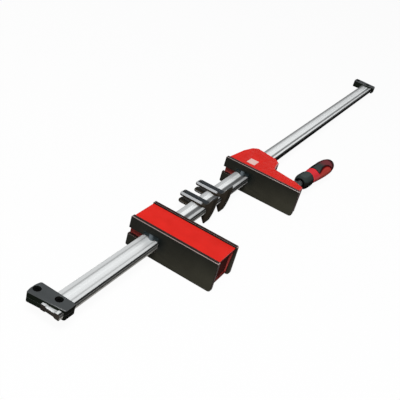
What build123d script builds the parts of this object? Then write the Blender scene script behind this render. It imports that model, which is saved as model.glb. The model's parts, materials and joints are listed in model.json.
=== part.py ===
from build123d import *
import math
import os

# Parallel clamp lying on its side. Lengths are in millimetres.
# X runs along the rail towards the handle, Z is up, and the throat opens towards -Y.

# Rail
RAIL_LENGTH = 1300.0
RAIL_WIDTH = 29.0
RAIL_THICKNESS = 9.0
RAIL_WAIST = 6.0
RAIL_LOBE = 6.5
RAIL_SHOULDER = 2.2
RAIL_CORNER = 1.2

# Clearances
SLIDE_GAP = 0.3
FIT_GAP = 0.1
RUNNING_GAP = 0.08
OVERRUN = 2.0

# Reach of the jaws from the rail, and their places along it
JAW_WIDTH = 51.0
THROAT = 95.0
BACK_REACH = 38.0
JAW_SETBACK = 210.0
JAW_OPENING = 230.0

# Clamping pads
PAD_THICKNESS = 6.0
PAD_CORNER = 1.4
PAD_TIP_CORNER = 5.0
PAD_RIM = 0.8
PAD_SLOT_HEIGHT = 11.0
PAD_TONGUE_WIDTH = 9.0
PAD_TONGUE_SINK = 0.3
PAD_ARCH_WIDTH = 25.0
PAD_ARCH_HEIGHT = 13.0
PAD_ARCH_DEPTH = 2.6
PAD_ARCH_ROUND = 4.0

# End caps
CAP_SETBACK = 27.0
CAP_REACH = 40.0
CAP_FOOT_THICKNESS = 26.6
CAP_FOOT_DROP = 2.0
CAP_FOOT_BEVEL = 8.0
CAP_TIP_THICKNESS = 19.5
CAP_TIP_WALL = 2.6
CAP_HEIGHT = 16.0
CAP_CORNER = 1.6
CAP_EDGE = 0.9
CAP_SCREW_INSET = 13.8
CAP_SCREW_FOOT_INSET = 7.3
CAP_RAIL_SCREW_INSET = 9.1
CAP_RAIL_SCREW_ACROSS = 2.2
SCREW_SIDES = 24
SCREW_RADIUS = 2.0
SCREW_HEAD_RADIUS = 5.4
SCREW_HEAD_HEIGHT = 2.4
SCREW_HEAD_SINK = 1.2
SCREW_FLOOR = 1.6
SCREW_DRIVE_ACROSS = 4.0
SCREW_DRIVE_DEPTH = 1.5

# Fixed jaw
FIXED_LENGTH = 63.0
FIXED_PROUD = 2.5
FIXED_BACK_INSET = 0.4
FIXED_TIP_INSET = 2.5
FIXED_TIP_DRAFT = 2.5
FIXED_EDGE = 0.8
FIXED_RECESS_MARGIN = 4.0
FIXED_RECESS_DEPTH = 2.0
CORE_SKIN = 3.0
SLEEVE_WALL = 9.0
SLEEVE_HEIGHT = 28.0
CORE_TAIL_HEIGHT = 30.0
CORE_TAIL_WALL = 4.5
CORE_WEB = 7.0
CORE_TIP_INSET = 12.0

# Toothed grip plates
GRIP_LENGTH = 18.0
GRIP_DEPTH = 4.0
GRIP_HEIGHT = 8.0
GRIP_TOOTH_PITCH = 2.0
GRIP_TOOTH_DEPTH = 0.8
GRIP_INSET = 4.0

# Leaf springs
LEAF_THICKNESS = 0.5
LEAF_MARGIN = 1.5
LEAF_BOW = 1.4
LEAF_HEIGHT = 6.0

# Movable jaw housing
HUMP_LENGTH = 88.0
HUMP_DEPTH = 38.0
HUMP_EDGE = 2.0
HUMP_WALL = 3.2
HUMP_ROUND = 6.0
HUMP_BACK_SHARES = ((0.0, 0.93), (0.58, 0.79), (0.87, 0.61), (0.99, 0.37))
HUMP_REAR_SHARES = ((0.895, 0.755), (0.795, 1.0))
STEP_THICKNESS = 40.0
STEP_DEPTH = 43.0
THIN_THICKNESS = 31.5
THIN_DEPTH = 88.0
TIP_THICKNESS = 23.0
TIP_ROUND = 4.0
STEP_ROUND = 6.0
MOVABLE_CORE_THICKNESS = 6.0
MOVABLE_CORE_HEIGHT = 38.0
MOVABLE_CORE_GAP = 6.0
LABEL_LENGTH = 20.0
LABEL_WIDTH = 16.0
LABEL_THICKNESS = 0.3
LABEL_CENTRE_ALONG = 26.0
LABEL_CENTRE_ACROSS = 3.8

# Spindle and its seat
SPINDLE_TILT = 5.0
SEAT_ALONG = 20.0
SEAT_ACROSS = 78.5
SPINDLE_RADIUS = 6.0
SPINDLE_END = 128.0
SPINDLE_NOSE = 3.0
GROOVE_START = 8.6
GROOVE_WIDTH = 2.8
GROOVE_RADIUS = 4.4
CUP_RADIUS = 9.0
CUP_END = 7.5
CUP_SIDES = 12
RETAINER_THICKNESS = 2.2
RETAINER_MOUTH = 7.6
SPINDLE_HOLE_RADIUS = 7.5
CUP_POCKET_END = 12.0

# Sliding arm
ARM_SLEEVE_START = 15.0
ARM_SLEEVE_LENGTH = 44.0
ARM_SLEEVE_HEIGHT = 26.0
ARM_SLEEVE_WALL = 8.0
ARM_TAIL_START = 46.0
ARM_TAIL_THICKNESS = 12.0
ARM_TAIL_HEIGHT = 12.0
ARM_TRAVEL = 9.0
ARM_EYE_RADIUS = 11.0
ARM_EYE_START = 24.0
ARM_EYE_LENGTH = 18.0
ARM_EDGE = 1.0
NUT_SIDES = 6
NUT_RADIUS = 8.7
NUT_FLANGE_RADIUS = 10.0
NUT_FLANGE_THICKNESS = 1.6
GRIP_PIN_RADIUS = 3.0
GRIP_PIN_HEIGHT = 20.0

# Handle, measured along the spindle axis from its seat
HANDLE_SIDES = 24
COLLAR_START = 63.0
COLLAR_END = 97.0
COLLAR_RADIUS = 15.0
COLLAR_SHARES = ((0.0, 0.7), (0.12, 0.89), (0.27, 1.0), (0.76, 1.0), (0.91, 0.95), (1.0, 0.85))
COLLAR_VALLEY_SHARE = 0.94
HANDLE_END = 198.0
HANDLE_RADIUS = 16.0
HANDLE_SHARES = (
    (0.0, 0.81),
    (0.15, 0.87),
    (0.37, 0.97),
    (0.6, 1.0),
    (0.8, 0.93),
    (0.93, 0.76),
    (1.0, 0.53),
)
GRIP_WALL = 2.2
GRIP_START = 113.0
SCALLOP_LENGTH = 8.0
SCALLOP_WIDTH = 34.0
SCALLOP_SHARES = ((0.0, 0.5), (0.5, 0.43), (0.85, 0.26), (1.0, 0.0))
WINDOW_COUNT = 2
WINDOW_ANGLE = 75.0
WINDOW_END_BAND = 7.0
WINDOW_LENGTH = 73.0
WINDOW_WIDTH = 23.0
WINDOW_SHARES = (
    (-0.5, 0.0),
    (-0.4, 0.15),
    (-0.22, 0.36),
    (0.0, 0.48),
    (0.2, 0.5),
    (0.36, 0.4),
    (0.46, 0.22),
    (0.5, 0.0),
)
WINDOW_SINK = 0.25
WINDOW_GAP = 0.15
HANDLE_PIN_RADIUS = 2.0
HANDLE_PIN_PLACE = 104.0
INSERT_ACROSS = 12.0
INSERT_LENGTH = 18.0
INSERT_SOCKET_ACROSS = 8.0
INSERT_SOCKET_DEPTH = 12.0

# Rail clips
CLIP_WIDTH = 17.0
CLIP_REACH = 39.0
CLIP_FRONT_PLACE = 350.0
CLIP_REAR_PLACE = 401.0
CLIP_ARM_HEIGHT = 6.0
CLIP_ARM_EDGE = 3.0
CLIP_LOWER_HEIGHT = 3.4
CLIP_LOWER_EDGE = 1.2
CLIP_ARM_ROUND = 6.0
CLIP_HOLE_RADIUS = 1.9
CLIP_HOLE_INSET = 5.8
CLIP_NUB_WIDTH = 7.0

# Blade of a clip: how far out from the throat edge and how high above the rail's middle
BLADE_HOOK = ((-5.8, -12.5), (0.0, -22.0), (2.2, -22.0))
BLADE_BACK = (6.2, -3.0)
BLADE_HORN = ((7.0, 25.2), (5.0, 25.2), (1.2, 15.5))
BLADE_ROOT = 4.0

HALF_WIDTH = RAIL_WIDTH / 2
HALF_THICKNESS = RAIL_THICKNESS / 2
HALF_JAW = JAW_WIDTH / 2
TIP_REACH = HALF_WIDTH + THROAT
AXIS_Y = (TIP_REACH - CAP_REACH) / 2
AXIS_Z = HALF_JAW
RAIL_START = -RAIL_LENGTH / 2
FIXED_FACE = RAIL_START + JAW_SETBACK
MOVABLE_FACE = FIXED_FACE + FIXED_LENGTH + JAW_OPENING


def at_rail(shape, x=0.0):
    """Move a shape from the rail's own axis to its place in the clamp."""
    return Pos(x, AXIS_Y, AXIS_Z) * shape


def block(x_range, y_range, z_range):
    size = [high - low for low, high in (x_range, y_range, z_range)]
    corner = Pos(x_range[0], y_range[0], z_range[0])
    return corner * Box(*size, align=(Align.MIN, Align.MIN, Align.MIN))


def along_rail(section, start, end):
    """Extrude a section drawn in Y and Z along X, the rail's direction."""
    return Pos(start, 0, 0) * extrude(Plane.YZ * section, amount=end - start, dir=(1, 0, 0))


def upright(section, low, high):
    """Extrude an outline drawn in X and Y between two heights."""
    return Pos(0, 0, low) * extrude(section, amount=high - low, dir=(0, 0, 1))


def outline(points):
    return make_face(Polyline(*points, close=True))


def rail_section(gap=0.0):
    """Dog bone section of the rail, or of the square cornered passage a gap wider round it."""
    width = HALF_WIDTH + gap
    height = HALF_THICKNESS + gap
    waist = RAIL_WAIST / 2 + gap
    lobe = HALF_WIDTH - RAIL_LOBE - gap
    recess = lobe - RAIL_SHOULDER
    side = [(width, height), (lobe, height), (recess, waist)]
    top = side + [(-y, z) for y, z in reversed(side)]
    return outline(top + [(-y, -z) for y, z in top])


def rail_passage(start, end):
    return along_rail(rail_section(SLIDE_GAP), start, end)


def cap_screw_places():
    """The foot screw, then the screw that also pins the rail, from the cap's inner face."""
    foot = (CAP_SCREW_INSET, CAP_REACH - CAP_SCREW_FOOT_INSET)
    return foot, (CAP_RAIL_SCREW_INSET, CAP_RAIL_SCREW_ACROSS)


def rail_bar():
    section = rail_section()
    section = fillet(section.vertices().group_by(lambda v: abs(v.Y))[-1], RAIL_CORNER)
    bar = along_rail(section, 0, RAIL_LENGTH)
    inset, across = cap_screw_places()[1]
    for x in (CAP_SETBACK - inset, RAIL_LENGTH - CAP_SETBACK + inset):
        bar -= Pos(x, across, 0) * screw_rod(SCREW_RADIUS + FIT_GAP, -RAIL_THICKNESS, RAIL_THICKNESS)
    return bar


def cap_block():
    """Whole end cap with its inner face on X = 0, growing towards the rail's end at -X."""
    tip = HALF_WIDTH + CAP_TIP_WALL
    corner = CAP_REACH - CAP_FOOT_DROP
    shape = outline([
        (0, corner),
        (0, -tip),
        (-CAP_TIP_THICKNESS, -tip),
        (-CAP_FOOT_THICKNESS, corner),
        (CAP_FOOT_BEVEL - CAP_FOOT_THICKNESS, CAP_REACH),
        (-CAP_FOOT_BEVEL, CAP_REACH),
    ])
    shape = chamfer(shape.vertices(), CAP_CORNER)
    body = upright(shape, -CAP_HEIGHT / 2, CAP_HEIGHT / 2)
    rims = body.faces().sort_by(Axis.Z)
    body = chamfer(rims[0].edges() + rims[-1].edges(), CAP_EDGE)
    reach = CAP_FOOT_THICKNESS + OVERRUN
    return body - along_rail(rail_section(FIT_GAP), -reach, OVERRUN)


def screw_rod(radius, low, high):
    return upright(RegularPolygon(radius, SCREW_SIDES), low, high)


def screw_cutter(gap):
    """Space for one cap screw, head up, its head's seat on the head's underside."""
    top = CAP_HEIGHT / 2
    seat = top - SCREW_HEAD_SINK - SCREW_HEAD_HEIGHT
    shank = screw_rod(SCREW_RADIUS + gap, -top + SCREW_FLOOR, seat)
    return shank + screw_rod(SCREW_HEAD_RADIUS + gap, seat, top)


def cap_screw():
    top = CAP_HEIGHT / 2 - SCREW_HEAD_SINK
    seat = top - SCREW_HEAD_HEIGHT
    shank = screw_rod(SCREW_RADIUS, -CAP_HEIGHT / 2 + SCREW_FLOOR + FIT_GAP, seat)
    head = screw_rod(SCREW_HEAD_RADIUS, seat, top)
    drive = RegularPolygon(SCREW_DRIVE_ACROSS / math.sqrt(3), 6)
    return shank + head - upright(drive, top - SCREW_DRIVE_DEPTH, top + OVERRUN)


def end_cap():
    """The two halves of an end cap and its pair of screws, around the rail's near end."""
    body = cap_block()
    screws = Part()
    for inset, across in cap_screw_places():
        place = Pos(-inset, across, 0)
        body -= place * screw_cutter(FIT_GAP)
        screws += place * cap_screw()
    reach = (-CAP_FOOT_THICKNESS - OVERRUN, OVERRUN)
    sides = (-TIP_REACH, TIP_REACH)
    upper = body & block(reach, sides, (0, CAP_HEIGHT))
    lower = body & block(reach, sides, (-CAP_HEIGHT, 0))
    return {"cap_upper": upper, "cap_lower": lower, "cap_screws": screws}


def jaw_pad():
    """Pad with its clamping face on X = 0 and its back on the housing at PAD_THICKNESS."""
    plate = outline([
        (BACK_REACH, -HALF_JAW),
        (BACK_REACH, HALF_JAW),
        (-TIP_REACH, HALF_JAW),
        (-TIP_REACH, -HALF_JAW),
    ])
    lower_tip = plate.vertices().sort_by(lambda v: v.X + v.Y)[:1]
    plate = fillet(lower_tip, PAD_TIP_CORNER)
    others = plate.vertices().sort_by(lambda v: abs(v.X - BACK_REACH))[:2]
    others += plate.vertices().sort_by(lambda v: v.X - v.Y)[:1]
    plate = chamfer(others, PAD_CORNER)
    pad = along_rail(plate, 0, PAD_THICKNESS)
    pad = chamfer(pad.faces().sort_by(Axis.X)[0].edges(), PAD_RIM)
    slot_depth = HALF_WIDTH + SLIDE_GAP
    slot_half = PAD_SLOT_HEIGHT / 2
    through = (-OVERRUN, PAD_THICKNESS + OVERRUN)
    pad -= block(through, (-slot_depth, BACK_REACH + OVERRUN), (-slot_half, slot_half))
    arch = Rectangle(PAD_ARCH_WIDTH, PAD_ARCH_HEIGHT * 2)
    arch = fillet(arch.vertices(), PAD_ARCH_ROUND)
    pad -= along_rail(arch, -OVERRUN, PAD_ARCH_DEPTH)
    guide = tongue()
    return pad + guide + mirror(guide, about=Plane.XY)


def tongue():
    """Half round tongue that hangs in the arch down to the recess along the rail's upper face."""
    half = PAD_TONGUE_WIDTH / 2
    crown = ThreePointArc((PAD_ARCH_DEPTH, -half), (PAD_TONGUE_SINK, 0), (PAD_ARCH_DEPTH, half))
    root = [(PAD_THICKNESS, half), (PAD_THICKNESS, -half)]
    back = Polyline(crown @ 1, *root, crown @ 0)
    return upright(make_face([crown, back]), RAIL_WAIST / 2 + SLIDE_GAP, PAD_ARCH_HEIGHT)


def core_sleeve_half():
    return HALF_WIDTH + SLEEVE_WALL


def grip_plate():
    """Hardened plate, its teeth pointing to -Y with their tips on Y = 0."""
    teeth = round(GRIP_LENGTH / GRIP_TOOTH_PITCH)
    pitch = GRIP_LENGTH / teeth
    points = [(GRIP_LENGTH, GRIP_DEPTH), (0, GRIP_DEPTH)]
    for index in range(teeth):
        points.append((index * pitch, GRIP_TOOTH_DEPTH))
        points.append(((index + 1) * pitch, 0))
    points.append((GRIP_LENGTH, GRIP_TOOTH_DEPTH))
    return upright(outline(points), -GRIP_HEIGHT / 2, GRIP_HEIGHT / 2)


def grip_plate_pair(start, end):
    """Two plates that bite the rail: at the throat edge near one end, at the back near the other."""
    tip_line = HALF_WIDTH + SLIDE_GAP
    back = Pos(end - GRIP_INSET - GRIP_LENGTH, tip_line, 0) * grip_plate()
    throat = Pos(start + GRIP_INSET, -tip_line, 0) * mirror(grip_plate(), about=Plane.XZ)
    return back + throat


def grip_pocket_pair(start, end):
    depth = GRIP_DEPTH + FIT_GAP
    length = GRIP_LENGTH + 2 * FIT_GAP
    height = GRIP_HEIGHT / 2 + FIT_GAP
    back_start = end - GRIP_INSET - GRIP_LENGTH - FIT_GAP
    throat_start = start + GRIP_INSET - FIT_GAP
    tip_line = HALF_WIDTH + SLIDE_GAP
    back = block((back_start, back_start + length), (0, tip_line + depth), (-height, height))
    throat = block((throat_start, throat_start + length), (-tip_line - depth, 0), (-height, height))
    return back + throat


def leaf_spring(length):
    """Bowed leaf, its ends on Y = 0 and the crown of its bow towards -Y."""
    half = length / 2
    inner = ThreePointArc((-half, 0), (0, -LEAF_BOW), (half, 0))
    outer = ThreePointArc((half, LEAF_THICKNESS), (0, LEAF_THICKNESS - LEAF_BOW), (-half, LEAF_THICKNESS))
    left = Line((-half, LEAF_THICKNESS), (-half, 0))
    right = Line((half, 0), (half, LEAF_THICKNESS))
    leaf = make_face([inner, right, outer, left])
    return upright(leaf, -LEAF_HEIGHT / 2, LEAF_HEIGHT / 2)


def leaf_pocket(length):
    half = length / 2 + FIT_GAP
    height = LEAF_HEIGHT / 2 + FIT_GAP
    return block((-half, half), (-LEAF_BOW - OVERRUN, LEAF_THICKNESS + FIT_GAP), (-height, height))


def leaf_between(start, end, away=0.0):
    """A leaf and its pocket in a stretch of a sleeve, with a margin at each end, its crown near the rail."""
    length = end - start - 2 * LEAF_MARGIN
    place = Pos((start + end) / 2, HALF_WIDTH + SLIDE_GAP + LEAF_BOW + away, 0)
    return place * leaf_spring(length), place * leaf_pocket(length)


def fixed_core(gap=0.0):
    """Cast sleeve round the rail with a flanged tail behind the pads; a gap gives its cavity."""
    start = PAD_THICKNESS
    end = FIXED_LENGTH - PAD_THICKNESS
    half = core_sleeve_half() + gap
    height = SLEEVE_HEIGHT / 2 + gap
    tail = CORE_TAIL_HEIGHT / 2 + gap
    foot = -TIP_REACH + CORE_TIP_INSET - gap
    skin = CORE_SKIN - gap
    core = block((start + skin, end - skin), (-half, half), (-height, height))
    core += block((start, end), (foot, -core_sleeve_half() + SLEEVE_WALL / 2 + gap), (-tail, tail))
    return core


def core_lightening():
    """Pockets on both flanks of the core's tail that leave a web and two flanges."""
    start = PAD_THICKNESS + CORE_TAIL_WALL
    end = FIXED_LENGTH - PAD_THICKNESS - CORE_TAIL_WALL
    foot = -TIP_REACH + CORE_TIP_INSET + CORE_TAIL_WALL
    head = -core_sleeve_half() - CORE_TAIL_WALL
    pocket = block((start, end), (foot, head), (CORE_WEB / 2, CORE_TAIL_HEIGHT))
    return pocket + mirror(pocket, about=Plane.XY)


def fixed_jaw():
    start = PAD_THICKNESS
    end = FIXED_LENGTH - PAD_THICKNESS
    height = HALF_JAW - FIXED_PROUD
    tip = -TIP_REACH + FIXED_TIP_INSET
    back = BACK_REACH - FIXED_BACK_INSET
    side = outline([(back, -height), (back, height), (tip, height), (tip + FIXED_TIP_DRAFT, -height)])
    housing = along_rail(side, start, end)
    long_edges = housing.edges().filter_by(Axis.X)
    housing = chamfer(long_edges, FIXED_EDGE)
    housing -= block(
        (start + FIXED_RECESS_MARGIN, end - FIXED_RECESS_MARGIN),
        (tip - OVERRUN, tip + FIXED_TIP_DRAFT + FIXED_RECESS_DEPTH),
        (-height + FIXED_RECESS_MARGIN, height - FIXED_RECESS_MARGIN),
    )
    housing -= fixed_core(FIT_GAP)
    housing -= rail_passage(0, FIXED_LENGTH)
    sleeve = (start + CORE_SKIN, end - CORE_SKIN)
    core = fixed_core() - core_lightening() - rail_passage(0, FIXED_LENGTH)
    core -= grip_pocket_pair(*sleeve)
    spring, spring_pocket = leaf_between(sleeve[0], sleeve[1] - GRIP_INSET - GRIP_LENGTH)
    core -= spring_pocket
    inner_pad = Pos(FIXED_LENGTH, 0, 0) * mirror(jaw_pad(), about=Plane.YZ)
    return {
        "fixed_jaw_housing": housing,
        "fixed_jaw_core": core,
        "fixed_jaw_grip_plates": grip_plate_pair(*sleeve),
        "fixed_jaw_spring": spring,
        "fixed_jaw_outer_pad": jaw_pad(),
        "fixed_jaw_inner_pad": inner_pad,
    }


def along_spindle(shape):
    """Move a shape drawn about the X axis, from its seat at the origin, onto the tilted spindle axis."""
    return Pos(SEAT_ALONG, -SEAT_ACROSS, 0) * Rot(0, 0, -SPINDLE_TILT) * shape


def turned(points):
    """Revolve a profile of places along the X axis and radii about that axis."""
    return revolve(outline(points), axis=Axis.X)


def drum(start, end, radius):
    return turned([(start, 0), (end, 0), (end, radius), (start, radius)])


def flat_drum(start, end, radius, sides):
    return along_rail(RegularPolygon(radius, sides), start, end)


def housing_outline():
    """Movable jaw seen from above: hump round the rail, step, and thin throat side."""
    back = [(PAD_THICKNESS + a * (HUMP_LENGTH - PAD_THICKNESS), b * BACK_REACH) for a, b in HUMP_BACK_SHARES]
    rear = [(a * HUMP_LENGTH, -b * HUMP_DEPTH) for a, b in HUMP_REAR_SHARES]
    throat = [
        (STEP_THICKNESS, -STEP_DEPTH),
        (THIN_THICKNESS, -THIN_DEPTH),
        (TIP_THICKNESS, -TIP_REACH + FIXED_TIP_INSET),
        (PAD_THICKNESS, -TIP_REACH + FIXED_TIP_INSET),
    ]
    shape = outline(back + rear + throat)
    hump = [shape.vertices().sort_by_distance(Vector(*back[index]))[0] for index in (2, 3)]
    shape = fillet(hump, HUMP_ROUND)
    step = shape.vertices().sort_by_distance(Vector(*throat[0]))[0]
    shape = fillet([step], STEP_ROUND)
    tip = shape.vertices().sort_by_distance(Vector(*throat[2]))[0]
    return fillet([tip], TIP_ROUND)


def hump_cavity():
    """Room in which the arm's sleeve slides, and the slot through which its tail comes out."""
    height = HALF_JAW - HUMP_WALL
    floor = -HUMP_DEPTH + HUMP_WALL
    inner = offset(housing_outline(), -HUMP_WALL)
    room = upright(inner, -height, height)
    room &= block((PAD_THICKNESS + HUMP_WALL, HUMP_LENGTH), (floor, BACK_REACH), (-height, height))
    tail_end = ARM_TAIL_START + ARM_TAIL_THICKNESS + ARM_TRAVEL
    tail_height = ARM_TAIL_HEIGHT / 2 + SLIDE_GAP
    slot = block(
        (ARM_TAIL_START - ARM_EDGE, tail_end + ARM_EDGE),
        (-STEP_DEPTH - OVERRUN, 0),
        (-tail_height, tail_height),
    )
    return room + slot


def nosed_rod(end, gap=0.0):
    """Round rod from its blunt conical nose to a place along the spindle axis."""
    radius = SPINDLE_RADIUS + gap
    nose = SPINDLE_NOSE + gap
    return turned([(-nose, 0), (-nose, radius - SPINDLE_NOSE), (0, radius), (end, radius), (end, 0)])


def thrust_cup():
    """Cup fixed to the steel core, with the conical seat of the spindle's nose."""
    cup = flat_drum(-SEAT_ALONG, CUP_END, CUP_RADIUS, CUP_SIDES)
    cup = along_spindle(cup - nosed_rod(CUP_END + OVERRUN, SLIDE_GAP))
    face = PAD_THICKNESS + MOVABLE_CORE_THICKNESS
    return cup - block((-SEAT_ALONG, face), (-TIP_REACH, 0), (-HALF_JAW, HALF_JAW))


def spindle_retainer():
    """Fork plate in the spindle's groove that keeps the jaw on the spindle."""
    start = GROOVE_START + (GROOVE_WIDTH - RETAINER_THICKNESS) / 2
    ring = flat_drum(start, start + RETAINER_THICKNESS, CUP_RADIUS, CUP_SIDES)
    ring -= drum(start - OVERRUN, start + GROOVE_WIDTH + OVERRUN, GROOVE_RADIUS + SLIDE_GAP)
    mouth = RETAINER_MOUTH / 2
    length = (start - OVERRUN, start + GROOVE_WIDTH + OVERRUN)
    ring -= block(length, (-CUP_RADIUS - OVERRUN, 0), (-mouth, mouth))
    return along_spindle(ring)


def label_centre():
    return Pos(LABEL_CENTRE_ALONG, -LABEL_CENTRE_ACROSS, HALF_JAW)


def label_blank(gap=0.0):
    plate = Rectangle(LABEL_LENGTH + 2 * gap, LABEL_WIDTH + 2 * gap)
    return label_centre() * upright(plate, -LABEL_THICKNESS - gap, 0)


def movable_jaw():
    tip = -TIP_REACH + CORE_TIP_INSET
    core_top = -HALF_WIDTH - MOVABLE_CORE_GAP
    core_half = MOVABLE_CORE_HEIGHT / 2
    core_back = PAD_THICKNESS + MOVABLE_CORE_THICKNESS
    housing = upright(housing_outline(), -HALF_JAW, HALF_JAW)
    rims = housing.faces().sort_by(Axis.Z)
    housing = chamfer(rims[0].edges() + rims[-1].edges(), HUMP_EDGE)
    housing -= hump_cavity()
    housing -= rail_passage(0, HUMP_LENGTH + OVERRUN)
    housing -= block(
        (0, core_back + FIT_GAP),
        (tip - FIT_GAP, core_top + FIT_GAP),
        (-core_half - FIT_GAP, core_half + FIT_GAP),
    )
    pocket = flat_drum(-SEAT_ALONG / 2, CUP_POCKET_END, CUP_RADIUS + FIT_GAP, CUP_SIDES)
    housing -= along_spindle(pocket)
    housing -= along_spindle(drum(0, STEP_THICKNESS, SPINDLE_HOLE_RADIUS))
    core = block((PAD_THICKNESS, core_back), (tip, core_top), (-core_half, core_half))
    core = chamfer(core.edges().filter_by(Axis.X), PAD_CORNER)
    label_cut = label_blank(FIT_GAP)
    return {
        "movable_jaw_housing": housing - label_cut,
        "movable_jaw_core": core,
        "movable_jaw_pad": jaw_pad(),
        "thrust_cup": thrust_cup(),
        "spindle_retainer": spindle_retainer(),
        "label_plate": label_blank(),
    }


def arm_sleeve_half():
    return HALF_WIDTH + ARM_SLEEVE_WALL


def sliding_arm():
    """Steel arm: sleeve round the rail inside the hump, tail, and the eye that holds the nut."""
    sleeve = (ARM_SLEEVE_START, ARM_SLEEVE_START + ARM_SLEEVE_LENGTH)
    half = arm_sleeve_half()
    height = ARM_SLEEVE_HEIGHT / 2
    body = block(sleeve, (-half, half), (-height, height))
    body = chamfer(body.edges(), ARM_EDGE)
    drop = SEAT_ACROSS + (ARM_TAIL_START - SEAT_ALONG) * math.tan(math.radians(SPINDLE_TILT))
    tail_height = ARM_TAIL_HEIGHT / 2
    tail = block(
        (ARM_TAIL_START, ARM_TAIL_START + ARM_TAIL_THICKNESS),
        (-drop, -half + ARM_SLEEVE_WALL / 2),
        (-tail_height, tail_height),
    )
    eye_end = ARM_EYE_START + ARM_EYE_LENGTH
    eye = along_spindle(drum(ARM_EYE_START, eye_end, ARM_EYE_RADIUS))
    body += tail + eye
    nut_room = flat_drum(ARM_EYE_START - OVERRUN, eye_end + OVERRUN, NUT_RADIUS + FIT_GAP, NUT_SIDES)
    body -= along_spindle(nut_room)
    sideways = ARM_TRAVEL * math.sin(math.radians(SPINDLE_TILT))
    passage = rail_passage(0, HUMP_LENGTH)
    body -= passage
    body -= Pos(0, sideways, 0) * passage
    nut = flat_drum(ARM_EYE_START, eye_end, NUT_RADIUS, NUT_SIDES)
    nut += flat_drum(ARM_EYE_START - NUT_FLANGE_THICKNESS, ARM_EYE_START, NUT_FLANGE_RADIUS, NUT_SIDES)
    nut -= drum(0, COLLAR_START, SPINDLE_RADIUS + RUNNING_GAP)
    pin_half = GRIP_PIN_HEIGHT / 2
    pins = Part()
    for x, y in (
        (sleeve[0] + GRIP_INSET + GRIP_PIN_RADIUS, -HALF_WIDTH - SLIDE_GAP - GRIP_PIN_RADIUS),
        (sleeve[1] - GRIP_INSET - GRIP_PIN_RADIUS, HALF_WIDTH + SLIDE_GAP + sideways + GRIP_PIN_RADIUS),
    ):
        body -= Pos(x, y, 0) * Cylinder(GRIP_PIN_RADIUS + FIT_GAP, GRIP_PIN_HEIGHT + 2 * FIT_GAP)
        pins += Pos(x, y, 0) * Cylinder(GRIP_PIN_RADIUS, GRIP_PIN_HEIGHT)
    spring_end = sleeve[1] - GRIP_INSET - 2 * GRIP_PIN_RADIUS
    spring, spring_pocket = leaf_between(sleeve[0], spring_end, sideways)
    return {
        "sliding_arm": body - spring_pocket,
        "spindle_nut": along_spindle(nut),
        "arm_grip_pins": pins,
        "arm_spring": spring,
    }


def spindle_rod():
    rod = nosed_rod(SPINDLE_END)
    groove = drum(GROOVE_START, GROOVE_START + GROOVE_WIDTH, SPINDLE_RADIUS + OVERRUN)
    groove -= drum(GROOVE_START, GROOVE_START + GROOVE_WIDTH, GROOVE_RADIUS)
    return rod - groove - handle_pin(FIT_GAP)


def handle_pin(gap=0.0):
    length = 2 * (HANDLE_RADIUS * HANDLE_SHARES[0][1] - GRIP_WALL / 2)
    return Pos(HANDLE_PIN_PLACE, 0, 0) * Cylinder(HANDLE_PIN_RADIUS + gap, length + 2 * gap)


def profile(start, end, radius, shares):
    return [(start + along * (end - start), across * radius) for along, across in shares]


def flat_sided(places, valley_share=1.0):
    """Flat sided solid about the X axis, from the places and radii of its corners, odd ones drawn in."""
    turn = 2 * math.pi / HANDLE_SIDES
    rings = []
    for place, radius in places:
        reaches = [radius * (valley_share if index % 2 else 1) for index in range(HANDLE_SIDES)]
        angles = [index * turn for index in range(HANDLE_SIDES)]
        rings.append([(place, r * math.cos(a), r * math.sin(a)) for r, a in zip(reaches, angles)])
    faces = [outline(rings[0]), outline(rings[-1])]
    for near, far in zip(rings, rings[1:]):
        for index in range(HANDLE_SIDES):
            faces.append(outline([near[index - 1], near[index], far[index], far[index - 1]]))
    return Solid(Shell(faces))


def handle_collar():
    """Ribbed barrel in front of the handle."""
    places = profile(COLLAR_START, COLLAR_END, COLLAR_RADIUS, COLLAR_SHARES)
    return flat_sided(places, COLLAR_VALLEY_SHARE) - drum(0, SPINDLE_END, SPINDLE_RADIUS + FIT_GAP)


def handle_body(shrink, start):
    """Handle with all its radii less by a shrink, from a place to its end."""
    places = [(s, r - shrink) for s, r in profile(COLLAR_END, HANDLE_END, HANDLE_RADIUS, HANDLE_SHARES)]
    places[-1] = (HANDLE_END - shrink, places[-1][1])
    return flat_sided(places) & drum(start, HANDLE_END + OVERRUN, HANDLE_END)


def reaching_out(points):
    """Prisms of one outline that reach out from the handle's axis, one for each window."""
    prism = upright(outline(points), 0, HANDLE_END)
    prisms = Part()
    for index in range(WINDOW_COUNT):
        prisms += Rot(WINDOW_ANGLE + index * 360 / WINDOW_COUNT, 0, 0) * prism
    return prisms


def handle_windows(gap):
    """Window openings that end a band before the handle's end."""
    centre = HANDLE_END - WINDOW_END_BAND - WINDOW_LENGTH / 2
    length = WINDOW_LENGTH + 2 * gap
    width = WINDOW_WIDTH + 2 * gap
    side = [(centre + along * length, across * width) for along, across in WINDOW_SHARES]
    return reaching_out(side + [(x, -y) for x, y in side[-2:0:-1]])


def grip_scallops():
    """Rounded bites out of the grip's front edge, in line with the windows."""
    side = [(GRIP_START + along * SCALLOP_LENGTH, across * SCALLOP_WIDTH) for along, across in SCALLOP_SHARES]
    root = [(COLLAR_END, -side[0][1]), (COLLAR_END, side[0][1])]
    return reaching_out(root + side + [(x, -y) for x, y in side[-2::-1]])


def hex_insert(gap=0.0):
    bar = RegularPolygon(INSERT_ACROSS / math.sqrt(3) + gap, 6)
    return along_rail(bar, HANDLE_END - INSERT_LENGTH, HANDLE_END)


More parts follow.
